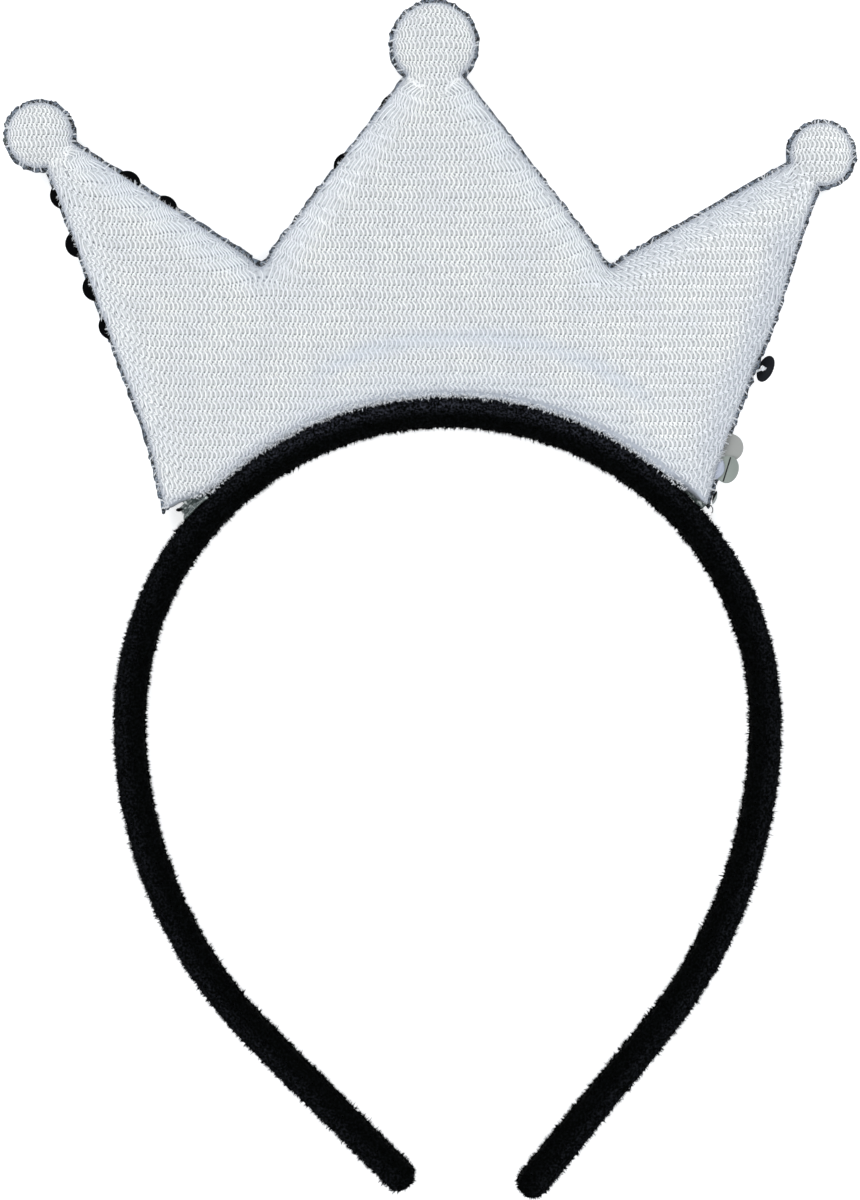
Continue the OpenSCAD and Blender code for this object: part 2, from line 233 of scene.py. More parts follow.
def places(made):
    """A bmesh's vertices in millimetres."""
    return np.array([v.co for v in made.verts]) / MM


def move_to(made, spots):
    """Puts a bmesh's vertices at those places in millimetres."""
    for v, spot in zip(made.verts, spots * MM):
        v.co = spot


def smooth(low, high, value):
    """0 below low, 1 above high, and an even curve between them."""
    t = np.clip((value - low) / (high - low), 0, 1)
    return t * t * (3 - 2 * t)


def rough(spots, size, seed=0):
    """Even noise about 0, in a pattern of that size in millimetres."""
    shift = Vector((seed * 7.3, seed * 3.1, seed * 5.7))
    return np.array([noise.noise(Vector(p).to_3d() / size + shift) for p in spots])


# %% [markdown]
# ## Outlines of the crown
# Seams, stitches and the pull of the knit all follow the crown's outline. It is read from
# the solids: seen from above, the outline is where faces that look up meet faces that look
# down. The edges found are joined end to end into one loop, which is then cut in two at the
# crown's lower corners, because its foot is glued and the rest is stitched.

# %% Read an outline and measure from it
def outline(made):
    """The loop of edges between a shape's upper and lower faces, in millimetres."""
    ahead = {}
    for edge in made.edges:
        up = [face for face in edge.link_faces if face.normal.z > 1e-4]
        if len(up) == 1 and len(edge.link_faces) == 2:
            loop = next(c for c in edge.link_loops if c.face == up[0])
            ahead[loop.vert] = loop.link_loop_next.vert
    first = next(iter(ahead))
    chain = [first]
    while ahead[chain[-1]] != first:
        chain.append(ahead[chain[-1]])
    return np.array([v.co for v in chain]) / MM


def cut_at_corners(loop):
    """The outline in two: its foot, and the rest from the right corner over to the left."""
    left = min(range(len(loop)), key=lambda k: loop[k][1] + 1e3 * (loop[k][0] > 0))
    right = min(range(len(loop)), key=lambda k: loop[k][1] + 1e3 * (loop[k][0] < 0))
    loop = np.roll(loop, -right, axis=0)
    left = (left - right) % len(loop)
    return np.vstack([loop[left:], loop[:1]]), loop[:left + 1]


def from_path(path, spots):
    """Each spot's distance from an open path and how far along it that is, from above."""
    start, run = path[:-1, :2], np.diff(path[:, :2], axis=0)
    length = np.linalg.norm(run, axis=1)
    before = np.concatenate([[0], np.cumsum(length)[:-1]])
    found = []
    for part in np.array_split(spots[:, :2], max(1, len(spots) // 4000)):
        rel = part[:, None] - start
        t = np.clip((rel * run).sum(2) / length ** 2, 0, 1)
        gap = np.linalg.norm(rel - t[..., None] * run, axis=2)
        k = gap.argmin(1)
        row = np.arange(len(part))
        found.append((gap[row, k], before[k] + t[row, k] * length[k]))
    return np.hstack(found)


# %% [markdown]
# ## Round notches
# The solids meet in a sharp corner between two peaks. Thread can't hold cloth in a corner
# like that, and the real notches have a small round bottom. Near each tip the copies are
# divided and their points lifted to a circle that touches both slopes. Then the outlines
# of both halves are read.

# %% Round the notches and read the outlines
# Each notch: its tip, and the way it opens
NOTCHES = ((Vector((-36.2, 92.0, 0)), np.array([-0.19, 0.98])),
           (Vector((31.5, 91.8, 0)), np.array([0.2, 0.98])))
NOTCH_HALF = math.radians(49)
NOTCH_ROUND = 1.9
NOTCH_SINK = 0.7
NOTCH_REACH = 3


def round_notches(made):
    """Gives a cloth's sharp notches a round bottom, as thread draws them."""
    for tip, way in NOTCHES:
        near = [e for e in made.edges if (e.verts[0].co / MM - tip).xy.length < NOTCH_REACH]
        bmesh.ops.subdivide_edges(made, edges=near, cuts=3, use_grid_fill=True)
        spots = places(made)
        rel = spots[:, :2] - tip[:2]
        aside = np.minimum(abs(rel @ (way[1], -way[0])), NOTCH_ROUND * math.cos(NOTCH_HALF))
        on_circle = NOTCH_ROUND / math.sin(NOTCH_HALF) - np.sqrt(NOTCH_ROUND ** 2 - aside ** 2)
        lift = (on_circle - aside / math.tan(NOTCH_HALF)) - NOTCH_SINK
        spots[:, :2] += (lift * (1 - smooth(1, 3.5, np.hypot(*rel.T))))[:, None] * way
        move_to(made, spots)


back = solid_copy("crown_back")
front = solid_copy("crown_front")
for made in (back, front):
    round_notches(made)
back_foot, back_edge = cut_at_corners(outline(back))
front_foot, front_edge = cut_at_corners(outline(front))
print(f"stitched edge {np.linalg.norm(np.diff(front_edge, axis=0), axis=1).sum():.0f} mm,",
      f"glued foot {np.linalg.norm(np.diff(front_foot, axis=0), axis=1).sum():.0f} mm")

# %% [markdown]
# ## The stuffed back
# The back is a flat stuffed pad: it rises steeply from the seam, rounds over within a few
# millimetres and is nearly flat in the middle. A cloth simulation could swell it, but the
# solid already has the swelling, measured by the distance from the seam. So the copy is
# divided finely and every point is lifted to that same rounded profile, with the slack of
# real stuffing added: low lumps, puckers along the stitches, and the long folds that the
# hoop pulls into the cloth above it. Along the foot the cloth is pushed against the hoop:
# it rises more steeply there, and its upper part bulges over the glue as a lip.

# %% Swell the back
SEAM_Z = 5.9
BACK_RISE = 4.4
ROLL = 4.5
DOME = 0.15
FOOT_ROLL = 1.7
# Lumps of the stuffing: height and width
LUMPS = ((0.35, 16), (0.12, 6))
PUCKER, PUCKER_WIDTH = 0.16, 2.6
# Folds that the hoop draws into the cloth: depth, half width, and points as angle and radius
FOLDS = ((0.5, 1.7, ((115, 72.2), (109, 74.6), (102, 76.2), (95, 77.0), (84.7, 77.7),
                     (76, 77.9), (68, 77.3), (60, 76.0), (53, 73.6))),
         (0.4, 2.2, ((121, 88), (117, 83), (112, 79), (106, 78.5))),
         (0.3, 1.3, ((98, 71.5), (88, 71.8), (78, 73), (68, 72.5), (58, 70.5))))


def on_arc(points):
    """Points given as degrees and millimetres round the hoop's middle, in millimetres."""
    return np.array([(r * math.cos(math.radians(a)), r * math.sin(math.radians(a)), 0)
                     for a, r in points])


def by_fold(points, fade, spots):
    """Distances from a fold's line, and a weight that fades out towards the fold's ends."""
    line = on_arc(points)
    length = np.linalg.norm(np.diff(line, axis=0), axis=1).sum()
    off, on = from_path(line, spots)
    return off, smooth(0, fade, on) * (1 - smooth(length - fade, length, on))


def edge_of(spots):
    """Distances from the back's outline: from its foot and from its stitched edge."""
    return from_path(back_foot, spots)[0], from_path(back_edge, spots)[0]


def back_height(spots):
    """Height of the stuffed back over each spot, in millimetres."""
    by_foot, by_edge = edge_of(spots)
    inwards = np.minimum(by_foot, by_edge)
    u = 1 - np.clip(np.minimum(by_foot / FOOT_ROLL, by_edge / ROLL), 0, 1)
    height = (1 - DOME) * np.sqrt(1 - u * u) + DOME * (1 - np.exp(-inwards / (2 * ROLL)))
    plan = spots[:, :2]
    inner = smooth(0.5, 6, inwards)
    lumps = sum(high * inner * rough(plan, wide, k + 1) for k, (high, wide) in enumerate(LUMPS))
    near, along = from_path(back_edge, spots)
    puckers = PUCKER * rough(np.column_stack([along, near * 0.3]), PUCKER_WIDTH, 3)
    puckers = puckers * smooth(0.2, 1.5, near) * (1 - smooth(2, 6, near))
    folds = 0
    for depth, wide, points in FOLDS:
        off, ends = by_fold(points, 12, spots)
        folds += depth * np.exp(-(off / wide) ** 2) * ends
    return SEAM_Z + BACK_RISE * height + lumps + puckers - folds


upper_edges = [e for e in back.edges if any(f.normal.z > 1e-4 for f in e.link_faces)]
bmesh.ops.subdivide_edges(back, edges=upper_edges, cuts=3, use_grid_fill=True)
spots = places(back)
by_foot, by_edge = edge_of(spots)
lifted = (spots[:, 2] > SEAM_Z + 1e-3) & (np.minimum(by_foot, by_edge) > 1e-3)
spots[lifted, 2] = back_height(spots[lifted])
GLUE_GAP = 0.45
FOOT_LIP = 1.15
FOOT_FRAY = 0.3
at_foot = (1 - smooth(1, 4, by_foot)) * smooth(0.3, 2, by_edge)
lip = smooth(7.5, 9.3, spots[:, 2]) * smooth(3, 12, by_edge)
push = at_foot * (GLUE_GAP + FOOT_LIP * lip)
push += FOOT_FRAY * (1 - smooth(1, 2, by_foot)) * rough(spots, 0.8, 15)
spots[:, :2] -= spots[:, :2] / np.linalg.norm(spots[:, :2], axis=1)[:, None] * push[:, None]
move_to(back, spots)
by_foot, by_edge = edge_of(spots)
print(f"back rises to {spots[:, 2].max():.1f} mm, {len(back.faces)} faces")

# %% [markdown]
# ## How the knit is pulled
# The knit runs straight up and down in the middle of the crown. Near the sloping edges the
# cloth was pulled over the stuffing before it was stitched, and the ribs there drift up the
# slopes towards the ball tips, or down the slope on the right wing. That pull is written as
# a shift: along the nearest slopes, full at the seam and gone a few millimetres inside it.
# A second shift draws the cloth in from beyond the outline, because it goes down round the
# stuffing there and shows more loops to a millimetre as seen from above. The flat knit is
# drawn first and then carried by the shifts, so the ribs and the ground stay together.

# %% Pull of the cloth
# Each ball: its middle and its radius
TIP_BALLS = ((-79.3, 116.6, 7.0), (-2.6, 134.3, 8.7), (72.7, 112.9, 6.75))
PULL = 5.5
PULL_REACH = 8.0
WRAPPED = 2.0
# How far off another stretch of the rim still counts at a spot, in square millimetres
SHARED = 12
# How the cloth strays by itself: how far, over what width, and the noise's seed
WANDER = ((0.3, 9, 40), (0.06, 1.5, 50))
rim_line = np.vstack([back_edge, back_foot[1:]])[:, :2]
rim_steps = np.diff(rim_line, axis=0)
stride = np.linalg.norm(rim_steps, axis=1)
middles = rim_line[:-1] + rim_steps / 2
rim_out = np.column_stack([rim_steps[:, 1], -rim_steps[:, 0]]) / stride[:, None]
upslope = rim_steps * np.sign(rim_steps[:, 1:]) / stride[:, None]
upslope[len(back_edge) - 1:] = 0
for x, y, radius in TIP_BALLS:
    upslope[np.linalg.norm(middles - (x, y), axis=1) < radius + 1.5] = 0
right_wing = (middles[:, 0] > NOTCHES[1][0].x) & (rim_out[:, 1] > 0.3)
upslope[right_wing] *= -1
steep = np.abs(rim_out[:, 1]) < 0.5
right_side = steep & (rim_out[:, 0] > 0.5) & (middles[:, 1] < 100)


def by_rim(spots, values):
    """Values given along the rim, as the nearest stretches share them at each spot, and how
    far inside the rim each spot is."""
    shared, inside = [], []
    for part in np.array_split(spots[:, :2], max(1, len(spots) // 4000)):
        rel = part[:, None] - middles
        gap = np.linalg.norm(rel, axis=2)
        near, nearest = gap.min(1), gap.argmin(1)
        beyond = (rel[np.arange(len(part)), nearest] * rim_out[nearest]).sum(1) > 0
        weight = stride * np.exp(-(gap - near[:, None]) * (gap + near[:, None]) / SHARED)
        shared.append((weight @ values).T / weight.sum(1))
        inside.append(np.where(beyond, 0, near))
    return np.concatenate(shared, axis=-1), np.concatenate(inside)


def pull(spots):
    """How far the cloth at each spot was pulled, in millimetres along X and Y."""
    ways, inside = by_rim(spots, np.hstack([upslope, rim_out]))
    along = PULL * np.clip(1 - inside / PULL_REACH, 0, 1) ** 2
    inwards = WRAPPED * np.clip(1 - inside / ROLL, 0, 1) ** 2.5
    shifts = (along * ways[:2] - inwards * ways[2:]).T
    for k in (0, 1):
        shifts[:, k] += sum(far * rough(spots[:, :2], wide, seed + k) for far, wide, seed in WANDER)
    return shifts


flat_spots = spots[:, :2] - pull(spots)
print(f"greatest pull {np.linalg.norm(spots[:, :2] - flat_spots, axis=1).max():.2f} mm")

# %% [markdown]
# ## What the pull does to the knit
# Pulled knit looks different in three ways, and three functions say where. On the slopes its loops
# lie over, the same way the slope goes up. Tight cloth, on the slopes and along the great fold over
# the hoop, closes its loops, and there the knit is given a painted shade, a little darker and
# bluer. Where the cloth turns down to the seam or the foot, or lies on the crown's right side, its
# colour is darkened and blued as painted shade.

# %% Lean, shade and tension
SIDE_LEAN = 0.6
SEAM_TURN = 1.1
SIDE_SHADE = 0.45
FOLD_HALF = 1.8


def lean(spots):
    """How far the loops lie over, from -1, to the left going up, to 1, to the right."""
    towards = np.sign(upslope[:, 0]) * np.where(steep, SIDE_LEAN, 1.0)
    return by_rim(spots, towards)[0] * (1 - smooth(2, 8.5, edge_of(spots)[1]))


def painted_turn_shade(spots):
    """How much painted shade the cloth gets at each spot, 0 to 1: where it turns down to the seam
    or foot, and on the right side.
    """
    foot, edge = edge_of(spots)
    down = np.maximum(1 - smooth(0, SEAM_TURN, edge), 0.8 * (1 - smooth(-0.5, 2.2, foot)))
    away = by_rim(spots, right_side)[0] * (1 - smooth(2, 8, edge))
    return np.maximum(down, SIDE_SHADE * away)


def tension_and_painted_shade(spots):
    """How tightly the cloth is drawn at each spot, from 0 to 1. The knit's bluish painted shade
    follows it.
    """
    foot, edge = edge_of(spots)
    sloping = np.linalg.norm(upslope * np.abs(rim_out[:, 1:]), axis=1)
    tight = 0.9 * by_rim(spots, sloping)[0] * (1 - smooth(1, 7, edge))
    off, ends = by_fold(FOLDS[0][2], 14, spots)
    tight = np.maximum(tight, 0.9 * np.exp(-(off / FOLD_HALF) ** 2) * ends)
    return np.maximum(tight, 0.55 * (1 - smooth(2, 7, foot)) * smooth(-55, -20, spots[:, 0]))


LOOPS_SHUT = 0.35
print(f"tight cloth: {(tension_and_painted_shade(spots) > LOOPS_SHUT).mean():.0%} of the back's points")

# %% [markdown]
# ## Knit ground
# Between its ribs the knit is thin and grey, with holes where each loop bends round the next,
# painted dark as the shade inside them. The ribs will be real yarn. The holes are drawn by the
# shader, on a UV map in millimetres of the unpulled cloth, so that they keep in step with the ribs.
# Stray dark spots between them make it less even. Along the foot the cloth is turned under and
# shows a smooth strip, wider to the right, painted bluish grey as the shade it lies in. Numbers at
# every vertex tell the shader where the strip is, where the cloth is tight, and where it gets
# painted shade.

# %% Tools for the ground
RIB_GAP = 0.92
ROW = 2.41


def add_uv(made, flat):
    """Gives a mesh a UV map from each vertex's place in the flat cloth, in millimetres."""
    layer = made.data.uv_layers.new(name="cloth")
    corners = np.empty(len(made.data.loops), dtype=int)
    made.data.loops.foreach_get("vertex_index", corners)
    layer.data.foreach_set("uv", flat[corners].ravel())


def give(made, name, values):
    """Stores a number at every vertex of a piece, for its finish to read."""
    made.data.attributes.new(name, "FLOAT", "POINT").data.foreach_set("value", values)


def mesh_places(made):
    """A finished piece's vertices in millimetres."""
    found = np.empty(len(made.data.vertices) * 3)
    made.data.vertices.foreach_get("co", found)
    return found.reshape(-1, 3) / MM


def tinted_by(tree, where, colour, tint, share):
    """A colour that goes towards a tint by a number on the cloth, as a node's output."""
    amount = add(tree, "Attribute", attribute_name=where).outputs["Fac"]
    factor = add(tree, "Math", {0: amount, 1: share}, operation="MULTIPLY").outputs[0]
    return add(tree, "Mix", {"Factor": factor, 6: colour, 7: tint}, data_type="RGBA").outputs[2]


def give_drape(made):
    """Stores on a knit piece how tight it is and where it gets painted shade, for its tints."""
    spots = mesh_places(made)
    give(made, "tension_and_painted_shade", tension_and_painted_shade(spots))
    give(made, "painted_turn_shade", painted_turn_shade(spots))


def foot_strip(spots):
    """Width of the turned strip along the foot at each spot, in millimetres."""
    return 0.2 + 0.8 * smooth(-15, 35, spots[:, 0])


def wrapped(tree, value, size, shift=0.0):
    """The distance of a value from the nearest multiple of size, signed."""
    turn = add(tree, "Math", {0: value, 1: shift}, operation="ADD").outputs[0]
    return add(tree, "Math", {0: turn, 1: size / 2, 2: -size / 2}, operation="WRAP").outputs[0]


# %% Ground cloth with its holes
# Gaps in a loop, painted dark as the shade inside them: place, half width and half height in
# millimetres, and how dark
HOLES = ((-0.16, 1.3, 0.16, 0.45, 0.3), (-0.17, 0.66, 0.17, 0.2, 1.0),
         (0.4, 0.2, 0.15, 0.18, 1.0), (0.28, -0.3, 0.12, 0.15, 0.7), (-0.12, 1.55, 0.12, 0.15, 0.7))
# Thin polyester knit seen between its ribs: matt and pale grey
knit_ground, tree, shader = finish("knit_ground", Roughness=0.9)
uv = add(tree, "UVMap", uv_map="cloth").outputs[0]
flat_xyz = add(tree, "SeparateXYZ", {0: uv}).outputs
open_share = None
for x, y, wide, tall, dark in HOLES:
    across = wrapped(tree, flat_xyz[0], RIB_GAP, -x)
    up = wrapped(tree, flat_xyz[1], ROW, -y)
    offset = add(tree, "CombineXYZ", {0: across, 1: up}).outputs[0]
    offset = add(tree, "VectorMath", {0: offset, 1: (1 / wide, 1 / tall, 0)}, operation="MULTIPLY")
    away = add(tree, "VectorMath", {0: offset.outputs[0]}, operation="LENGTH").outputs["Value"]
    shade = add(tree, "MapRange", {0: away, 1: 1.25, 2: 0.5, 4: dark},
                interpolation_type="SMOOTHSTEP")
    open_share = shade.outputs[0] if open_share is None else add(
        tree, "Math", {0: open_share, 1: shade.outputs[0]}, operation="MAXIMUM").outputs[0]
stray = mottle(tree, 0.5, 1.0, 0.5, 0.7, 0.4)
open_share = add(tree, "Math", {0: open_share, 1: stray}, operation="MAXIMUM").outputs[0]
mix = add(tree, "Mix", {"Factor": open_share, 6: "#D0D2D3", 7: "#4A4D52"}, data_type="RGBA")
# Painted shade: a bluish tint where the cloth is tight, along the great fold and on the slopes
tinted = tinted_by(tree, "tension_and_painted_shade", mix.outputs[2], "#C6CDD9", 0.45)
# Painted shade: darker and bluer where the cloth turns down to the seam or foot, and on the right
# side
tinted = tinted_by(tree, "painted_turn_shade", tinted, "#979FB0", 0.6)
# Painted shade: a smooth bluish grey on the turned strip at the foot
tinted = tinted_by(tree, "turned_under_painted_shade", tinted, "#B4BAC4", 1.0)
tree.links.new(tinted, shader.inputs["Base Color"])
skin = BVHTree.FromBMesh(back)
knit_back = piece("knit_back", back, knit_ground, "knit_cloth", "crown_back")
add_uv(knit_back, flat_spots)
give(knit_back, "turned_under_painted_shade", 1 - smooth(0.6, 1.2, by_foot / foot_strip(spots)))
give_drape(knit_back)

# %% [markdown]
# ## Knit ribs
# Each rib is a yarn that bows right over a long loop and goes back left over a short one.
# All ribs do so together, which draws faint rows across the crown, and at each turn a short
# strand of the next loop crosses it. They are drawn as lines with a flat profile on the
# flat cloth. The pull then bends them, a ray straight down finds the stuffed cloth under
# each point, and a rib ends a little inside the seam, where the cloth turns under. On the
# slopes the loops are drawn lying over. No two loops are quite alike, so each point strays.

# %% Tools for yarn on the stuffed cloth
SWAY = 0.34
SEAM_LEFT_BARE = 0.25
# One loop of a rib: share of a row's height, sway as a share of the full sway, height over
# the cloth in millimetres, and fullness
LOOP = np.array([(0, -0.95, 0.0, 0.85), (0.13, -0.1, 0.03, 0.85), (0.27, 0.8, 0.08, 1.0),
                 (0.45, 1.0, 0.14, 1.1), (0.66, 0.7, 0.12, 1.05), (0.86, -0.3, 0.05, 0.95)])
# The sway of a loop that lies over to the left: a long straight stroke and a quick way back
LAID_OVER = np.array([0.3, 1.15, 0.8, 0.25, -0.45, -1.1])
# The short crossing strand of a loop: share of a row's height, and millimetres across
CROSS = np.array([(0.23, -0.24), (0.12, 0.02), (0.01, 0.28)])


def on_cloth(spots):
    """Heights of the stuffed cloth under the spots, or nan beside it, in millimetres."""
    heights = np.full(len(spots), np.nan)
    for k, (x, y) in enumerate(spots[:, :2]):
        hit = skin.ray_cast(Vector((x * MM, y * MM, 0.05)), Vector((0, 0, -1)))[0]
        if hit is not None and hit.z > (SEAM_Z + 0.01) * MM:
            heights[k] = hit.z / MM
    return heights


def yarns(name, runs, thick, tall, material, slot, full=None):
    """A piece of yarns along runs of points in millimetres, with a four-sided section."""
    section = bpy.data.curves.new("section", "CURVE")
    section.splines.new("POLY").points.add(3)
    for point, co in zip(section.splines[0].points,
                         ((thick, 0), (0, tall), (-thick, 0), (0, -tall))):
        point.co = (co[0] * MM / 2, co[1] * MM / 2, 0, 1)
    section.splines[0].use_cyclic_u = True
    section = placed("section", section)
    curve = bpy.data.curves.new(name, "CURVE")
    curve.dimensions = "3D"
    curve.twist_mode = "Z_UP"
    curve.bevel_mode = "OBJECT"
    curve.bevel_object = section
    curve.use_fill_caps = True
    for k, run in enumerate(runs):
        line = curve.splines.new("POLY").points
        line.add(len(run) - 1)
        line.foreach_set("co", np.column_stack([run * MM, np.ones(len(run))]).ravel())
        if full is not None:
            line.foreach_set("radius", full[k])
    drawn = placed(name + "_line", curve)
    depsgraph = bpy.context.evaluated_depsgraph_get()
    mesh = bpy.data.meshes.new_from_object(drawn.evaluated_get(depsgraph))
    for one in (section, drawn):
        bpy.data.objects.remove(one)
    return dress(placed(name, mesh), material, slot)


def carried(flat):
    """Where flat points of the knit come to lie on the stuffed back, or nan off it."""
    shape = flat.shape[:-1]
    spots = flat.reshape(-1, 2)
    near_crown = np.isfinite(on_cloth(spots))
    for shift in ((3, 0), (-3, 0), (0, -3), (0, 3)):
        near_crown |= np.isfinite(on_cloth(spots + shift))
    drawn = spots.copy()
    for _ in range(8):
        drawn[near_crown] = (drawn[near_crown] + spots[near_crown] + pull(drawn[near_crown])) / 2
    heights = np.full(len(spots), np.nan)
    heights[near_crown] = on_cloth(drawn[near_crown])
    by_foot, by_edge = edge_of(drawn)
    heights[(by_foot < 0.7 * foot_strip(drawn)) | (by_edge < SEAM_LEFT_BARE)] = np.nan
    crowding = 1 - 0.4 * np.clip(1 - by_edge / ROLL, 0, 1) ** 1.2
    return (np.column_stack([drawn, heights]).reshape(*shape, 3), crowding.reshape(shape))


def unbroken(lines, full, least):
    """The stretches of each line that lie on the cloth, with their fullness."""
    runs, fulls = [], []
    for line, size in zip(lines, full):
        there = np.isfinite(line[:, 2])
        bounds = np.flatnonzero(np.diff(np.concatenate([[0], there, [0]])))
        for low, high in zip(bounds[::2], bounds[1::2]):
            if high - low >= least:
                runs.append(line[low:high])
                fulls.append(size[low:high])
    return runs, fulls


# %% Draw the ribs
RIB_WIDE, RIB_TALL = 0.33, 0.22
# How unlike the loops are: a rib's start and each point in millimetres, and the fullness
LATE, STRAY, UNEVEN = 0.1, 0.055, 0.12
LAID_SWAY = 1.25
rng = np.random.default_rng(7)
columns = np.arange(math.floor(cad_box[0].x / MM / RIB_GAP), cad_box[1].x / MM / RIB_GAP)
rows = np.arange(math.floor(36 / ROW), cad_box[1].y / MM / ROW)
rise = ((rows[:, None] + LOOP[:, 0]) * ROW).ravel()
sway, laid_over = np.tile((LOOP[:, 1], LAID_OVER), len(rows)) * SWAY
late = LATE * rng.normal(size=(len(columns), 1))
flat = np.stack(np.broadcast_arrays(columns[:, None] * RIB_GAP + 0 * sway, rise + late), axis=2)
straight, _ = carried(flat)
leaning = np.zeros(flat.shape[:2])
on_back = np.isfinite(straight[..., 2])
leaning[on_back] = lean(straight[on_back])
over = np.abs(leaning) ** 0.7
flat[..., 0] += sway * (1 - over) - LAID_SWAY * laid_over * np.sign(leaning) * over
flat += rng.normal(0, STRAY, flat.shape)
ribs, crowding = carried(flat)
crowding *= rng.normal(1, UNEVEN, crowding.shape)
ribs[..., 2] += 0.05 + np.tile(LOOP[:, 2], len(rows))
runs, fulls = unbroken(ribs, np.tile(LOOP[:, 3], len(rows)) * crowding, 3)
print(f"{len(runs)} ribs, {sum(map(len, runs))} points")
# Bleached polyester yarn: matt, nearly pure white, in faint blotches
knit_yarn, tree, shader = finish("knit_yarn", Roughness=0.8)
blotches = mottle(tree, 9, 2.0, 0.35, 0.65)
mix = add(tree, "Mix", {"Factor": blotches, 6: "#FFFFFE", 7: "#F6F7FA"}, data_type="RGBA")
# Painted shade: a bluish tint where the cloth is tight, along the great fold and on the slopes
tinted = tinted_by(tree, "tension_and_painted_shade", mix.outputs[2], "#E6ECF5", 0.55)
# Painted shade: darker and bluer where the cloth turns down to the seam or foot, and on the right
# side
tinted = tinted_by(tree, "painted_turn_shade", tinted, "#B4BBCA", 0.6)
tree.links.new(tinted, shader.inputs["Base Color"])
knit_ribs = yarns("knit_ribs", runs, RIB_WIDE, RIB_TALL, knit_yarn, "knit_cloth", fulls)
give_drape(knit_ribs)

# %% Draw the crossings
CROSS_WIDE, CROSS_TALL = 0.22, 0.18
CROSS_STRAY = 0.04
CROSS_UP = (0.04, 0.18, 0.04)
flat = np.stack(np.broadcast_arrays(
    (columns * RIB_GAP)[:, None, None] + CROSS[:, 1],
    (rows * ROW)[:, None] + CROSS[:, 0] * ROW), axis=3).reshape(-1, len(CROSS), 2)
flat += rng.normal(0, CROSS_STRAY, flat.shape)
strands, crowding = carried(flat)
strands[..., 2] += CROSS_UP
# Towards the right side the joints of the rows show as pale bands.
crowding *= 1 + 0.8 * smooth(10, 50, strands[..., 0])
tight = tension_and_painted_shade(strands[:, 1]) > LOOPS_SHUT
runs, fulls = unbroken(strands[~tight], crowding[~tight], len(CROSS))
knit_crossings = yarns("knit_crossings", runs, CROSS_WIDE, CROSS_TALL, knit_yarn,
                       "knit_cloth", fulls)
give_drape(knit_crossings)

# %% [markdown]
# ## Dark front cloth
# The front half is stuffed as well and covered in a dark cloth, flecked with slate. From the
# back only its rim shows, between the white knit and the picture's white, so the rim's edge
# matters most: real cut cloth is never a clean line, and the copy's edge is moved in and out
# by a few tenths of a millimetre.

# %% Front cloth
# Fraying of the rim: how far, over what width, and the noise's seed. Then its mean reach
FRAY = ((0.35, 1.1, 4), (0.35, 0.45, 14))
RIM_OUT = 0.15


def by_front_rim(spots):
    """Each spot's distance from the front's outline."""
    return np.minimum(from_path(front_edge, spots)[0], from_path(front_foot, spots)[0])


bmesh.ops.subdivide_edges(front, edges=front.edges, cuts=2, use_grid_fill=True)
on_rim = {v for v, gap in zip(front.verts, by_front_rim(places(front))) if gap < 0.02}
bmesh.ops.subdivide_edges(front, edges=[e for e in front.edges if set(e.verts) <= on_rim], cuts=3)
bmesh.ops.triangulate(front, faces=[f for f in front.faces if len(f.verts) > 3])
spots = places(front)
by_edge = by_front_rim(spots)
front.normal_update()
outwards = np.array([v.normal for v in front.verts])
outwards[:, 2] = 0
at_rim = (1 - smooth(0.4, 1.6, by_edge))[:, None]
fray = sum(far * rough(spots, wide, seed) for far, wide, seed in FRAY) + RIM_OUT
spots += outwards * at_rim * fray[:, None]
underside = (spots[:, 2] < 4.6) & (by_edge > 1)
spots[underside, 2] += 0.1 * (1 + rough(spots[underside], 5, 5)) * smooth(1, 3, by_edge[underside])
move_to(front, spots)
# Woven cloth of black and slate threads: matt, and flecked at the size of its threads
front_cloth, tree, shader = finish("flecked_front_cloth", Roughness=0.75)
flecks = mottle(tree, 0.45, 2.0, 0.45, 0.6)
mix = add(tree, "Mix", {"Factor": flecks, 6: "#14161A", 7: "#7E8996"}, data_type="RGBA")
tree.links.new(mix.outputs[2], shader.inputs["Base Color"])
speckled_front = piece("speckled_front", front, front_cloth, "speckled_cloth", "crown_front")

# %% [markdown]
# ## Plush band
# The hoop is a flat plastic strip in a sleeve of black plush. The sleeve is glued shut along the
# strip's middle, which leaves a shallow dark groove. Its colour carries a painted sheen, lighter on
# the outer side of the groove and towards the hoop's top. The sleeve is a copy of the solid,
# divided and made uneven.
# The groove needs to know where the middle is: it is where the distances to the two sides
# are equal.

# %% Plush sleeve
GROOVE_DEEP, GROOVE_HALF = 0.6, 0.4
PILE_SUNK = 0.15
band = solid_copy("headband")
inner, outer = sorted(cut_at_corners(outline(band)),
                      key=lambda side: np.linalg.norm(side[:, :2], axis=1).mean())


def off_middle(spots):
    """How far each spot is outside the middle of the band's thickness."""
    return (from_path(inner, spots)[0] - from_path(outer, spots)[0]) / 2


bmesh.ops.subdivide_edges(band, edges=band.edges, cuts=4, use_grid_fill=True)
band.normal_update()
spots = places(band)
outwards = np.array([v.normal for v in band.verts])
off = off_middle(spots)
on_top = outwards[:, 2] > 0.5
bumps = 0.15 * rough(spots, 3.5, 6) + 0.3 * rough(spots, 0.9, 7)
groove = np.where(on_top, -GROOVE_DEEP * np.exp(-(off / GROOVE_HALF) ** 2), 0)
spots += outwards * (bumps - PILE_SUNK + groove)[:, None]
spots[:, 2] = np.maximum(spots[:, 2], 0)
move_to(band, spots)


def painted_sheen(spots):
    """How much painted sheen the pile gets at each spot: most outside and at the hoop's top."""
    outside = smooth(-1.0, 1.2, off_middle(spots))
    return 0.06 + outside * (0.15 + 0.5 * smooth(42, 62, spots[:, 1]))


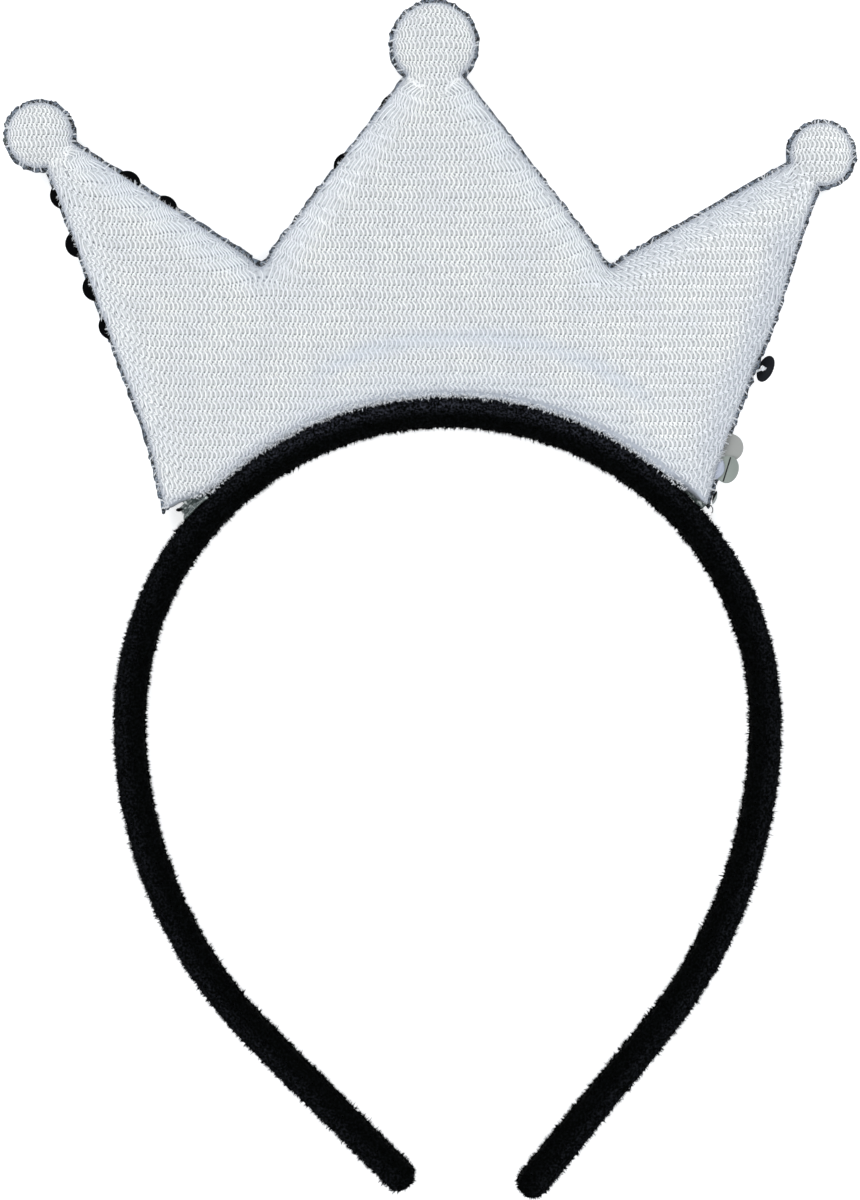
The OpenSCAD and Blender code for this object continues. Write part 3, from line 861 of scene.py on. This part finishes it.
# Dyed polyester plush: it swallows nearly all light. Its tufts get a painted sheen, strongest
# outside and at the hoop's top
plush, tree, shader = finish("black_plush", Roughness=1.0, Specular_IOR_Level=0.02)
tufts = mottle(tree, 0.45, 4.0, 0.44, 0.76)
painted_sheen_share = add(tree, "Attribute", attribute_name="painted_sheen").outputs["Fac"]
factor = add(tree, "Math", {0: tufts, 1: painted_sheen_share}, operation="MULTIPLY").outputs[0]
mix = add(tree, "Mix", {"Factor": factor, 6: "#020302", 7: "#4A4C57"}, data_type="RGBA")
tree.links.new(mix.outputs[2], shader.inputs["Base Color"])
plush_band = piece("plush_band", band, plush, "plush", "headband")
give(plush_band, "painted_sheen", painted_sheen(mesh_places(plush_band)))

# %% [markdown]
# ## Pile of the plush
# Black plush shows its pile only at its edges and where light grazes it, so real fibres are
# worth having: a material can't change an outline. They lean together in tufts about a
# millimetre wide, because that is how pile clumps. Each is one thin three-sided spike. A
# single spike is made with an operator, and arrays then place tens of thousands of copies
# in one mesh, which is far quicker than an object for each.

# %% Strew fibres over a surface
def strewn(name, roots, ways, widths, material, slot):
    """A piece of many fibres, each a thin three-sided spike from its root along its way."""
    spike = bmesh.new()
    bmesh.ops.create_cone(spike, cap_ends=True, segments=3, radius1=0.5, radius2=0, depth=1)
    bmesh.ops.translate(spike, verts=spike.verts, vec=(0, 0, 0.5))
    bmesh.ops.remove_doubles(spike, verts=spike.verts, dist=1e-5)
    corners = np.array([v.co for v in spike.verts])
    faces = np.array([[v.index for v in face.verts] for face in spike.faces])
    spike.free()
    side = np.cross(ways, (0.31, 0.52, 0.79))
    side *= (widths / np.linalg.norm(side, axis=1))[:, None]
    other = np.cross(ways, side) / np.linalg.norm(ways, axis=1)[:, None]
    spots = (roots[:, None] + corners[:, :1] * side[:, None] + corners[:, 1:2] * other[:, None]
             + corners[:, 2:] * ways[:, None])
    index = (faces[None] + np.arange(len(roots))[:, None, None] * len(corners)).reshape(-1, 3)
    mesh = bpy.data.meshes.new(name)
    mesh.vertices.add(spots.size // 3)
    mesh.vertices.foreach_set("co", (spots * MM).ravel())
    mesh.loops.add(index.size)
    mesh.loops.foreach_set("vertex_index", index.ravel())
    mesh.polygons.add(len(index))
    mesh.polygons.foreach_set("loop_start", np.arange(0, index.size, 3))
    mesh.update(calc_edges=True)
    return dress(placed(name, mesh), material, slot)


def scatter_on(made, count, rng):
    """Random spots on a piece, spread evenly over its area, with the surface's directions."""
    mesh = made.data
    mesh.calc_loop_triangles()
    corners = np.empty(len(mesh.loop_triangles) * 3, dtype=int)
    mesh.loop_triangles.foreach_get("vertices", corners)
    a, b, c = mesh_places(made)[corners.reshape(-1, 3)].transpose(1, 0, 2)
    facing = np.cross(b - a, c - a)
    area = np.linalg.norm(facing, axis=1)
    chosen = rng.choice(len(area), size=count, p=area / area.sum())
    s, t = rng.random((2, count, 1))
    s, t = np.where(s + t > 1, 1 - s, s), np.where(s + t > 1, 1 - t, t)
    spread = a[chosen] + s * (b - a)[chosen] + t * (c - a)[chosen]
    return spread, (facing / area[:, None])[chosen]


# %% Pile on the sleeve
FIBRES = 46000
TUFTED = 0.35
TUFT_WIDE, FIBRE_WIDE = 0.36, 0.1
ROOT_DEEP = 0.05
rng = np.random.default_rng(11)
roots, facing = scatter_on(plush_band, FIBRES, rng)
tufted = np.column_stack([rough(roots, 0.9, 60 + k) for k in range(3)])
ways = facing + 1.3 * tufted + rng.normal(0, 0.25, (FIBRES, 3))
long = 0.3 + 0.45 * rng.random(FIBRES) ** 2 + 0.9 * np.clip(rough(roots, 1.0, 70), 0, 1)
in_tuft = rng.random(FIBRES) < TUFTED
long += 0.3 * in_tuft
ways *= (long / np.linalg.norm(ways, axis=1))[:, None]
wide = np.where(in_tuft, TUFT_WIDE, FIBRE_WIDE) * rng.uniform(0.7, 1.1, FIBRES)
above_floor = (roots[:, 2] > 0.2) & (roots[:, 2] + ways[:, 2] > 0.15)
kept = above_floor & ((facing[:, 2] < 0.5) | (abs(off_middle(roots)) > 0.3))
plush_pile = strewn("plush_pile", (roots - ROOT_DEEP * facing)[kept], ways[kept],
                    wide[kept], plush, "plush")
give(plush_pile, "painted_sheen", painted_sheen(mesh_places(plush_pile)))

# %% [markdown]
# ## Stitches over the rim
# The two halves are closed with white thread, over and over the edge, never evenly. Each
# stitch starts on the knit, crosses the dark rim and ends under it. It is a run of a few
# points in a plane across the edge, slanted along it, with two strands side by side.

# %% Overcast stitches
def along_edge(path, spacing, rng, share=1.0):
    """Unevenly spaced spots along a path, with the directions along it and out of it."""
    run = np.diff(path[:, :2], axis=0)
    length = np.linalg.norm(run, axis=1)
    ends = np.concatenate([[0], np.cumsum(length)])
    way = np.cumsum(spacing * rng.uniform(0.5, 1.5, int(2.5 * ends[-1] / spacing)))
    way = way[way < ends[-1]]
    way = way[rng.random(len(way)) < share]
    k = np.searchsorted(ends, way) - 1
    t = (way - ends[k]) / length[k]
    spot = path[k, :2] + t[:, None] * run[k]
    along = run[k] / length[k, None]
    return spot, along, np.column_stack([along[:, 1], -along[:, 0]])


# A stitch's path: millimetres inside the rim, and height
STITCH = np.array([(1.45, 8.25), (0.95, 7.5), (0.5, 6.65), (0.0, 5.65), (-0.12, 4.9),
                   (0.0, 4.0), (0.3, 3.05)])
STITCH_SPACING, STITCH_SHARE, SLANT = 1.0, 0.45, 0.55
STRANDS_APART = 0.16
rng = np.random.default_rng(23)
runs, fulls = [], []
for spot, along, out in zip(*along_edge(front_edge, STITCH_SPACING, rng, STITCH_SHARE)):
    slant = rng.normal(0, SLANT)
    inner_end = rng.integers(0, 3)
    for strand in range(2):
        inside, height = STITCH[inner_end:].T
        inside = inside + rng.normal(0, 0.05)
        slide = strand * STRANDS_APART + slant * (inside + 0.1 * rng.normal())
        plan = spot - inside[:, None] * out + slide[:, None] * along
        runs.append(np.column_stack([plan, height]))
        fulls.append(np.linspace(0.8, 1.1, len(inside)))
# White sewing thread: smoother than the yarn, so it shines a little more
thread = finish("white_thread", "#EDEFF2", Roughness=0.7)[0]
yarns("overcast_thread", runs, 0.14, 0.14, thread, "knit_cloth", fulls)

# %% [markdown]
# ## Fuzz of the knit
# The knit's cut fibres stand out of the seam as white teeth over the dark rim, and out of
# the foot over the plush. Both are strewn along a path, leaning one way more than the other,
# as the overcasting laid them.

# %% Fuzz along the seam and the foot
def fuzz_along(name, path, spacing, low, high, depth, lean, long, thick, rng):
    """Short white fibres along a path, from roots between two heights."""
    spot, along, out = along_edge(path, spacing, rng)
    count = len(spot)
    inside = rng.uniform(*depth, count)
    share = np.sqrt(np.clip(inside - depth[0], 0, None) / (depth[1] - depth[0]))
    roots = np.column_stack([spot - inside[:, None] * out, low + (high - low) * share])
    plan = out * rng.uniform(0.2, 1, (count, 1)) + along * rng.normal(lean, 0.5, (count, 1))
    ways = np.column_stack([plan, rng.normal(-0.1, 0.3, count)])
    ways *= (rng.uniform(*long, count) / np.linalg.norm(ways, axis=1))[:, None]
    return strewn(name, roots, ways, rng.uniform(0.5, 1, count) * thick, thread, "knit_cloth")


rng = np.random.default_rng(31)
fuzz_along("knit_fuzz", back_edge, 0.12, SEAM_Z + 0.2, SEAM_Z + 2.2, (-0.1, 0.9), 0.5,
           (0.35, 0.95), 0.14, rng)
fuzz_along("foot_fuzz", back_foot[3:-3], 0.09, 10.4, 11.2, (-0.9, 0.3), 0.0, (0.3, 0.9), 0.3, rng)

# %% [markdown]
# ## Sequins
# The sequins are punched from thin polyester film, glossy black on the side that was meant
# to face out and dull grey on the other. Their solids already are thin discs with a hole, so
# they stay and only get their finish. A film that thin is never flat, and a slight ripple
# breaks up its reflection. The scrap lies half turned, with one side dark and one grey.

# %% Sequin films
def ripple(tree, shader, size, strength, deep):
    """Breaks up a finish's reflections by waves of that size and depth in millimetres."""
    grain = add(tree, "TexCoord").outputs["Object"]
    waves = add(tree, "TexNoise", {"Vector": grain, "Scale": 1 / (size * MM), "Detail": 1.0})
    bump = add(tree, "Bump", {"Height": waves.outputs["Fac"], "Strength": strength,
                              "Distance": deep * MM})
    tree.links.new(bump.outputs[0], shader.inputs["Normal"])


def film(name, colour, shine):
    """Thin punched film with a slight ripple."""
    material, tree, shader = finish(name, colour, Roughness=shine, Specular_IOR_Level=0.05)
    ripple(tree, shader, 1.6, 0.5, 0.06)
    return material, tree, shader


# Punched polyester film: smooth and glossy on the black side, dull on the grey one
black_film = film("black_sequin_film", "#020203", 0.3)[0]
dark_film = film("dark_sequin_film", "#242529", 0.5)[0]
grey_film = film("grey_sequin_film", "#999A97", 0.6)[0]
green_film = film("greenish_sequin_film", "#939A94", 0.5)[0]
scrap_film, tree, shader = film("scrap_film", "#7D827F", 0.5)
grain = add(tree, "TexCoord").outputs["Object"]
low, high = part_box("sequin_scrap")
SCRAP_ACROSS = Vector((0.89, -0.46, 0))
FOLD_EDGE = 0.03 * MM
turn_over = SCRAP_ACROSS.dot((low + high) / 2)
across = add(tree, "VectorMath", {0: grain, 1: SCRAP_ACROSS}, operation="DOT_PRODUCT")
side = add(tree, "MapRange", {0: across.outputs["Value"], 1: turn_over - FOLD_EDGE,
                              2: turn_over + FOLD_EDGE}).outputs[0]
mix = add(tree, "Mix", {"Factor": side, 6: "#0B0C0C", 7: "#9BA09E"}, data_type="RGBA")
tree.links.new(mix.outputs[2], shader.inputs["Base Color"])
films = {"hanging_sequin": dark_film, "grey_sequin": grey_film, "creased_sequin": green_film,
         "sequin_scrap": scrap_film}
for name, node in nodes.items():
    if "sequin" in name:
        for slot in node.material_slots:
            slot.material = films.get(name, black_film)
print("films on", sum("sequin" in name for name in nodes), "sequins")

# %% [markdown]
# ## Hot glue
# Clear hot glue holds the crown to the band. It was pressed into the gap between them, and at the
# left corner, where the crown stands off, it spans the gap as a web with a thick shiny lip. The
# bead in the gap is a copy of its solid, made lumpy. The web is a grid drawn between a line on the
# crown and a line on the band, given a thickness. Pale streaks mixed into its dark colour are
# painted highlights.

# %% Glue bead
glue = solid_copy("glue_strip")
bmesh.ops.triangulate(glue, faces=glue.faces)
bmesh.ops.subdivide_edges(glue, edges=[e for e in glue.edges if e.calc_length() > 1.5 * MM],
                          cuts=4, use_grid_fill=True)
glue.normal_update()
spots = places(glue)
outwards = np.array([v.normal for v in glue.verts])
spots += outwards * (0.05 * rough(spots, 2.2, 8) - 0.03)[:, None]
move_to(glue, spots)
print(f"glue bead: {len(glue.faces)} faces")

# %% Glue web
WEB_ON_CROWN = np.array([(-51.9, 44.4, 5.6), (-50.6, 45.3, 6.4), (-49.2, 46.0, 6.9),
                         (-47.2, 47.1, 7.2)])
WEB_ON_BAND = np.array([(-50.8, 41.7, 8.6), (-49.6, 43.0, 9.9), (-48.3, 44.4, 10.3),
                        (-46.3, 46.1, 10.4)])
WEB_SAG, WEB_LIP, WEB_THICK = 0.9, 0.55, 0.5
web = bmesh.new()
bmesh.ops.create_grid(web, x_segments=14, y_segments=9, size=0.5)
# Shares of the way along the web and across it
u, v, _ = np.array([v.co for v in web.verts]).T + 0.5
u *= len(WEB_ON_CROWN) - 1
k = np.minimum(u.astype(int), len(WEB_ON_CROWN) - 2)
t = (u - k)[:, None]
on_crown = WEB_ON_CROWN[k] * (1 - t) + WEB_ON_CROWN[k + 1] * t
on_band = WEB_ON_BAND[k] * (1 - t) + WEB_ON_BAND[k + 1] * t
spots = on_crown * (1 - v)[:, None] + on_band * v[:, None]
spots[:, 2] += -WEB_SAG * np.sin(math.pi * v) + 0.15 * rough(spots, 0.9, 9)
spots[:, 2] += WEB_LIP * np.exp(-((v - 0.85) / 0.16) ** 2)
move_to(web, spots)
bmesh.ops.recalc_face_normals(web, faces=web.faces)
bmesh.ops.solidify(web, geom=web.faces, thickness=WEB_THICK * MM)
web_mesh = bpy.data.meshes.new("web")
web.to_mesh(web_mesh)
web.free()
glue.from_mesh(web_mesh)
bpy.data.meshes.remove(web_mesh)
bmesh.ops.recalc_face_normals(glue, faces=glue.faces)
# Hot-melt glue, melted and set in air: very smooth, half clear, and wavy
clear_glue, tree, shader = finish("clear_hot_glue", Roughness=0.08, IOR=1.48,
                                  Transmission_Weight=0.35, Coat_Weight=1.0)
# Painted highlights: pale streaks mixed into the glue's dark colour
painted_highlights = mottle(tree, 0.8, 2.0, 0.56, 0.66)
mix = add(tree, "Mix", {"Factor": painted_highlights, 6: "#56625F", 7: "#D5DCD9"}, data_type="RGBA")
tree.links.new(mix.outputs[2], shader.inputs["Base Color"])
ripple(tree, shader, 1.1, 1.0, 0.5)
piece("hot_glue", glue, clear_glue, "hot_glue", "glue_strip")

# %% [markdown]
# ## Loose ends
# A handmade thing is told by its odds and ends, and each here has its own place. The hanging sequin
# is held by a few turns of white thread through its hole. A pucker of the knit bulges beside the
# creased sequin, painted bluish grey as shade, and a dark strand along the sequin's crease is a
# painted shadow of the fold. The dark tip of one more sequin peeps out under the left corner, a
# clear one clings to the left ball, and a cut thread curls from the right corner.

# %% Blobs and threads at their places
def blob(name, centre, size, turn, bumps, material, slot):
    """A small uneven lump, from a ball stretched to size and turned about the upright."""
    made = bmesh.new()
    bmesh.ops.create_icosphere(made, subdivisions=3, radius=0.5)
    spots = np.array([v.co for v in made.verts])
    spots *= size * (1 + bumps * rough(spots, 0.3, 12)[:, None])
    c, s = math.cos(math.radians(turn)), math.sin(math.radians(turn))
    spots = spots @ np.array([(c, s, 0), (-s, c, 0), (0, 0, 1)])
    move_to(made, spots + centre)
    return piece(name, made, material, slot)


# White knit cloth painted bluish grey as the shade it lies in: matt
knit_in_painted_shade = finish("knit_cloth_in_painted_shade", "#B3B9C8", Roughness=0.8)[0]
low, high = (np.array(c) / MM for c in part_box("hanging_sequin"))
hole = (low + high) / 2
rng = np.random.default_rng(41)
THREAD_TURNS = 7
THREAD_THICK = 0.22
runs = []
for k in range(THREAD_TURNS):
    start = hole + (-1.9, rng.uniform(-0.9, -0.3), rng.uniform(-0.5, 0.6))
    middle = hole + (-0.75, rng.uniform(-0.5, 0.3), rng.uniform(0.1, 0.7))
    end = hole + (0.25, rng.uniform(-0.35, 0.35), rng.uniform(-0.2, 0.35))
    t = np.linspace(0, 1, 7)[:, None]
    runs.append((1 - t) ** 2 * start + 2 * t * (1 - t) * middle + t ** 2 * end)
yarns("sequin_thread", runs, THREAD_THICK, THREAD_THICK, thread, "knit_cloth")
blob("sequin_knot", hole + (-0.5, 0.05, 0.3), (0.6, 1.1, 0.6), -12, 0.5, thread, "knit_cloth")
blob("cloth_pucker", (52.7, 51.7, 6.0), (2.0, 4.1, 1.3), -17, 0.3, knit_in_painted_shade, "knit_cloth")
# A dark strand along the creased sequin's fold: a painted shadow of the crease
fold = np.array([(55.05, 54.04, 5.88), (54.3, 51.6, 5.88), (53.57, 49.3, 5.88)])
yarns("sequin_crease_shadow", [fold], 0.24, 0.16, dark_film, "grey_sequin")
blob("sequin_tip", (-52.1, 43.8, 7.6), (1.3, 0.75, 0.25), 10, 0.1, black_film, "black_sequin")
blob("clear_sequin_bit", (-86.1, 115.7, 5.3), (0.9, 1.1, 0.2), 0, 0.1, clear_glue, "hot_glue")
curl = np.array([(50.2, 44.6, 5.0), (50.7, 44.9, 5.3), (51.3, 44.6, 5.5), (51.6, 44.0, 5.4),
                 (51.6, 43.5, 5.1), (51.4, 43.2, 4.8)])
# The dark cloth's own thread: matt
dark_thread = finish("dark_thread", "#3B3A38", Roughness=0.8)[0]
yarns("loose_thread", [curl], 0.2, 0.2, dark_thread, "speckled_cloth")
